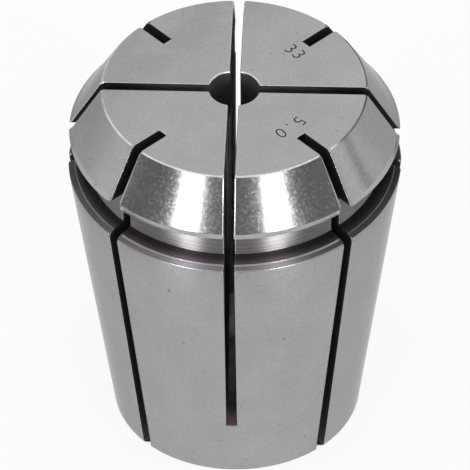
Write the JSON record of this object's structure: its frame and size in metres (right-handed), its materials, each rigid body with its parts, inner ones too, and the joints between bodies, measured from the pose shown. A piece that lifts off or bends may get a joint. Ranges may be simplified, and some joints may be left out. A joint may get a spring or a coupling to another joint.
{
  "type": "tapping collet",
  "caption": "Slotted spring collet with a double taper, a nut groove, a round clamping bore and a square drive socket behind it.",
  "frame": {"origin": "centre of the rear end, the small end that the collet stands on", "axes": "+Z along the bore axis, from the rear end to the front face; +X and +Y each run through a slot cut from the front"},
  "size_m": [0.033, 0.033, 0.04],
  "materials": {
    "ground_steel": "satin, ground"
  },
  "bodies": {
    "root": {"collet": "ground_steel"}
  },
  "joints": []
}
